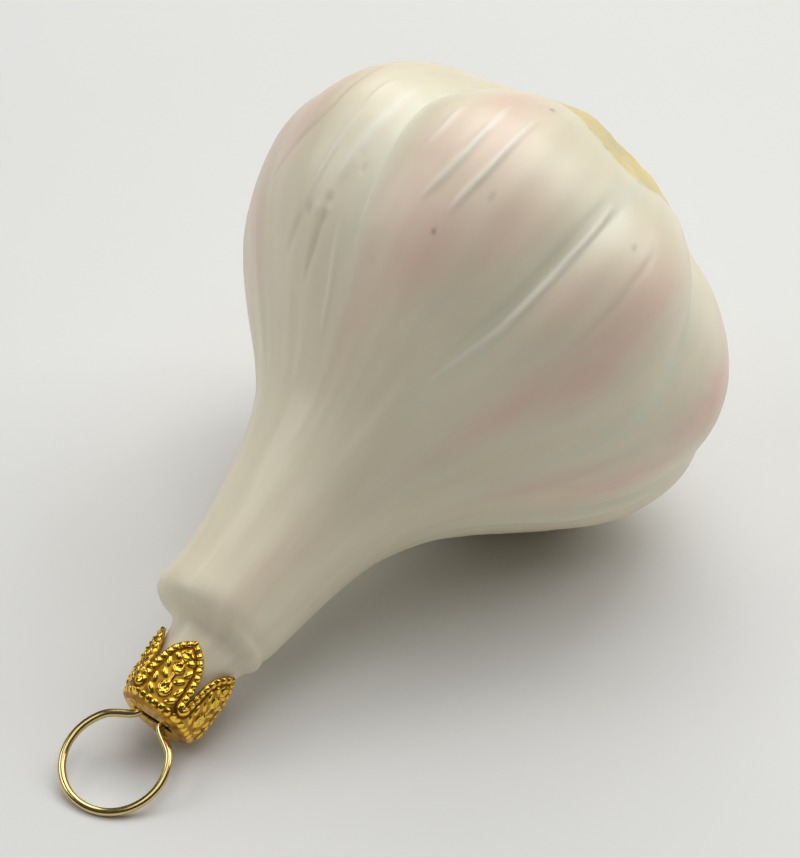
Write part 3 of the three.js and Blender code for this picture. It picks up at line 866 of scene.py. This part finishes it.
def gilt_brass():
    material, tree, shader = blank_material("gilt pressed brass")
    place = add(tree, "ShaderNodeTexCoord", "Object")
    spots = add(tree, "ShaderNodeTexNoise", 0, GILT_SPOTS, {"Vector": place})
    share = add(tree, "ShaderNodeMapRange", 0, HOLLOW_SPOTS, {0: spots})
    hollows = add(tree, "ShaderNodeAttribute", "Fac", {"attribute_name": "hollow_shade"})
    depth = add(tree, "ShaderNodeMath", 0, MULTIPLY, {0: hollows, 1: share})
    settings = {**COLOURS, BELOW: colour(GILT), OVER: colour(GILT_PAINTED_SHADE)}
    tint = add(tree, "ShaderNodeMix", MIXED, settings, {0: depth})
    tree.links.new(shader.inputs["Base Color"], tint)
    roughness = add(tree, "ShaderNodeMapRange", 0, GILT_ROUGHNESS, {0: depth})
    tree.links.new(shader.inputs["Roughness"], roughness)
    shader.inputs["Metallic"].default_value = 1
    bump = add(tree, "ShaderNodeBump", 0, GILT_RELIEF, {"Height": spots})
    tree.links.new(shader.inputs["Normal"], bump)
    return material


cap.data.materials.append(gilt_brass())
print("nodes in the gilt:", len(cap.active_material.node_tree.nodes))

# %% [markdown]
# ## The wire hanger
# One length of springy brass wire, bent to an open ring, with two legs that pass through
# the slot and spread inside the pipe. A round section is carried along the same bends
# as the solid's, with enough steps for a clean highlight.

# %% The route of the wire, in the plane of the ring: x along the axis, and y aside
WIRE_RADIUS = 0.45
RING_RADIUS = 5.7
RING_CENTRE = -65.0
RING_OPEN = 4.3
HANGER_LEAN = 0.55
LEG = [(-46.5, 2.9), (-50, 2.5), (-54, 1.85), (CAP_END + 0.6, 1.52), (CAP_END - 0.3, 1.62)]
RING_CORNERS = 15


def wire_corners():
    start = math.asin(RING_OPEN / RING_RADIUS)
    turns = np.linspace(start, 2 * math.pi - start, RING_CORNERS)
    ring = [(RING_CENTRE + RING_RADIUS * math.cos(a), RING_RADIUS * math.sin(a)) for a in turns]
    return np.array(LEG + ring + [(x, -y) for x, y in reversed(LEG)])


# %% A smooth curve through the route, and a round section along it
STEPS_BETWEEN = 12
SECTION_SIDES = 20
WIRE_TIP = 0.02


def even_curve(points, steps):
    """A smooth curve through points at uneven spacing, without loops at the short gaps."""
    route = np.vstack([2 * points[0] - points[1], points, 2 * points[-1] - points[-2]])
    gap = np.sqrt(np.hypot(*np.diff(route, axis=0).T))
    found = []
    for k in range(len(points) - 1):
        p0, p1, p2, p3 = route[k:k + 4]
        d0, d1, d2 = gap[k:k + 3]
        v1 = ((p1 - p0) / d0 - (p2 - p0) / (d0 + d1) + (p2 - p1) / d1) * d1
        v2 = ((p2 - p1) / d1 - (p3 - p1) / (d1 + d2) + (p3 - p2) / d2) * d1
        t = np.linspace(0, 1, steps, endpoint=False)[:, None]
        square = 3 * (p2 - p1) - 2 * v1 - v2
        cubic = 2 * (p1 - p2) + v1 + v2
        found.append(p1 + t * v1 + t ** 2 * square + t ** 3 * cubic)
    return np.concatenate(found + [[points[-1]]])


def wire_rings():
    """A round section carried along the route, with a tiny ring to close each tip."""
    route = even_curve(wire_corners(), STEPS_BETWEEN)
    tangent = np.gradient(route, axis=0)
    tangent /= np.hypot(*tangent.T)[:, None]
    side = across(np.array(RING_SIDE))
    ahead = np.array([1.0, 0, 0])
    line = route[:, :1] * ahead + route[:, 1:] * side
    aside = -tangent[:, 1:] * ahead + tangent[:, :1] * side
    plane = np.cross(ahead, side)
    line = np.concatenate([line[:1], line, line[-1:]])
    aside = np.concatenate([aside[:1], aside, aside[-1:]])
    thick = np.full(len(line), WIRE_RADIUS)
    thick[0] = thick[-1] = WIRE_TIP
    turn = np.radians(np.arange(SECTION_SIDES) * 360 / SECTION_SIDES)[None, :, None]
    section = np.cos(turn) * plane + np.sin(turn) * aside[:, None, :]
    leaning = across(np.array(LEAN_ANGLE)) * HANGER_LEAN
    return line[:, None, :] + thick[:, None, None] * section + leaning


wire = grid_piece("wire_ring_and_legs", to_world(wire_rings()))
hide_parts("wire_hanger")
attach(wire, "root")
print("wire faces:", len(wire.data.polygons))

# %% [markdown]
# ## Drawn brass wire
# Brass wire is pulled through a plate to its thickness, which leaves it pale, bright and
# very smooth. Soft spots of under a millimetre, a little deeper in colour and less
# polished, keep its long highlight from being one even line.

# %% The brass
BRASS = "#E3CC8F"
BRASS_DEEP = "#C7A961"
BRASS_SPOTS = {"Scale": 1400, "Detail": NOISE_DETAIL}
DEEP_SPOTS = {**NOISE_SPAN, TO_HIGH: 0.4}
BRASS_ROUGHNESS = {**NOISE_SPAN, TO_LOW: 0.12, TO_HIGH: 0.22}


def drawn_brass():
    material, tree, shader = blank_material("drawn brass wire")
    place = add(tree, "ShaderNodeTexCoord", "Object")
    spots = add(tree, "ShaderNodeTexNoise", 0, BRASS_SPOTS, {"Vector": place})
    tint = cloudy_colour(tree, spots, DEEP_SPOTS, BRASS, BRASS_DEEP)
    tree.links.new(shader.inputs["Base Color"], tint)
    roughness = add(tree, "ShaderNodeMapRange", 0, BRASS_ROUGHNESS, {0: spots})
    tree.links.new(shader.inputs["Roughness"], roughness)
    shader.inputs["Metallic"].default_value = 1
    return material


wire.data.materials.append(drawn_brass())
print("nodes in the brass:", len(wire.active_material.node_tree.nodes))

# %% [markdown]
# ## Camera
# The picture was taken from about a third of a metre, looking down on the ornament from
# the side of the stalk. A camera could be aimed with a constraint, but here named values
# place it: how far it looks down, its heading, its distance in mm, and how far the middle
# of the bulb lies to the right of the middle of the picture and above it.

# %% Camera
CAMERA_ELEVATION = math.radians(38.54)
CAMERA_HEADING = math.radians(39.81)
CAMERA_DISTANCE = 340.0
CAMERA_ASIDE = (8.507, 13.550)
# The focal length, as a share of the picture's longer side
FOCAL_SHARE = 3060 / 858
SENSOR = 36


def place_camera():
    data = bpy.data.cameras.new("camera")
    data.sensor_width = SENSOR
    data.lens = SENSOR * FOCAL_SHARE
    camera = bpy.data.objects.new("camera", data)
    bpy.context.scene.collection.objects.link(camera)
    e, h = CAMERA_ELEVATION, CAMERA_HEADING
    forward = Vector((math.cos(e) * math.cos(h), math.cos(e) * math.sin(h), -math.sin(e)))
    right = Vector((math.sin(h), -math.cos(h), 0))
    up = right.cross(forward)
    centre = Vector(MIDDLE)
    place = centre - right * CAMERA_ASIDE[0] - up * CAMERA_ASIDE[1] - forward * CAMERA_DISTANCE
    facing = Matrix((right, up, -forward)).transposed().to_4x4()
    camera.matrix_world = Matrix.Translation(place * MM) @ facing
    bpy.context.scene.camera = camera
    return place


print("camera in mm:", [round(value) for value in place_camera()])

# %% [markdown]
# ## Floor and light
# The ornament lies on a white sheet under a wide soft window behind it and above, so the
# side towards the camera is in its own shade, and is lit by what the floor throws back.
# Two more windows, at the right and the left, and a ceiling over the camera fill it a
# little. Large square area lights give the soft edges of such shadows. The room is a
# plain grey, darker low down, which the gilt needs to show bright and dark.

# %% Floor
FLOOR_SIZE = 3.0
PAPER = "#E9E9E6"
PAPER_SHADE = "#E4E4E2"
PAPER_CLOUDS = {"Scale": 6, "Detail": NOISE_DETAIL}
PAPER_ROUGHNESS = 0.7


def white_sheet():
    material, tree, shader = blank_material("white sheet")
    place = add(tree, "ShaderNodeTexCoord", "Object")
    clouds = add(tree, "ShaderNodeTexNoise", 0, PAPER_CLOUDS, {"Vector": place})
    tint = cloudy_colour(tree, clouds, NOISE_SPAN, PAPER, PAPER_SHADE)
    tree.links.new(shader.inputs["Base Color"], tint)
    shader.inputs["Roughness"].default_value = PAPER_ROUGHNESS
    return material


def lay_floor():
    mesh = bpy.data.meshes.new("floor")
    s = FLOOR_SIZE / 2
    mesh.from_pydata([(-s, -s, 0), (s, -s, 0), (s, s, 0), (-s, s, 0)], [], [(0, 1, 2, 3)])
    floor = bpy.data.objects.new("floor", mesh)
    floor.data.materials.append(white_sheet())
    bpy.context.scene.collection.objects.link(floor)
    floor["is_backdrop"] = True


lay_floor()
print("floor in metres:", FLOOR_SIZE)

# %% Lights
# Each light: its bearing from straight behind, positive to the right, its height in
# degrees, its distance and its width in metres, and its watts
LIGHTS = {
    "wide window behind": (18, 60, 0.9, 0.8, 5.0),
    "soft window at the right": (72, 44, 1.0, 0.6, 2.6),
    "soft window at the left": (-85, 36, 1.0, 0.5, 1.75),
    "ceiling towards the camera": (170, 76, 1.0, 0.7, 1.9),
}
# The room: its grey from straight below, at 0, to straight above, at 1
ROOM = [(0.0, 0.16), (0.5, 0.26), (0.62, 0.5), (1.0, 0.85)]
ROOM_TINT = (1, 0.99, 0.97)
ROOM_STRENGTH = 0.1
print("watts in all:", sum(settings[-1] for settings in LIGHTS.values()))


# %% Hang the lights, and paint the room
def hang_light(name, bearing, height, distance, width, watts):
    light = bpy.data.lights.new(name, "AREA")
    light.shape = "SQUARE"
    light.size = width
    light.energy = watts
    lamp = bpy.data.objects.new(name, light)
    bpy.context.scene.collection.objects.link(lamp)
    turn = CAMERA_HEADING - math.radians(bearing)
    up_angle = math.radians(height)
    flat = math.cos(up_angle)
    place = Vector((flat * math.cos(turn), flat * math.sin(turn), math.sin(up_angle))) * distance
    lamp.location = place
    lamp.rotation_euler = (-place).to_track_quat("-Z", "Y").to_euler()


def light_room():
    world = bpy.data.worlds.new("room")
    bpy.context.scene.world = world
    world.use_nodes = True
    tree = world.node_tree
    direction = add(tree, "ShaderNodeTexCoord", "Generated")
    upward = add(tree, "ShaderNodeSeparateXYZ", "Z", {}, {0: direction})
    height = add(tree, "ShaderNodeMapRange", 0, {FROM_LOW: -1}, {0: upward})
    grey = add(tree, "ShaderNodeValToRGB", "Color", {}, {"Fac": height})
    ramp = grey.node.color_ramp
    for position, _ in ROOM[1:-1]:
        ramp.elements.new(position)
    for element, (_, level) in zip(ramp.elements, ROOM):
        element.color = (*(level * tint for tint in ROOM_TINT), 1)
    background = tree.nodes["Background"]
    tree.links.new(background.inputs["Color"], grey)
    background.inputs["Strength"].default_value = ROOM_STRENGTH


for name, settings in LIGHTS.items():
    hang_light(name, *settings)
light_room()
print("lights:", len(LIGHTS))
bpy.context.scene.view_settings.view_transform = "Standard"

# %% Sizes, and the last line
size["visual"] = [list(corner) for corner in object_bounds()]
over = np.concatenate([low - size["visual"][0], size["visual"][1] - high]) / MM
print("over the solids' box by, in mm:", np.round(over, 3))
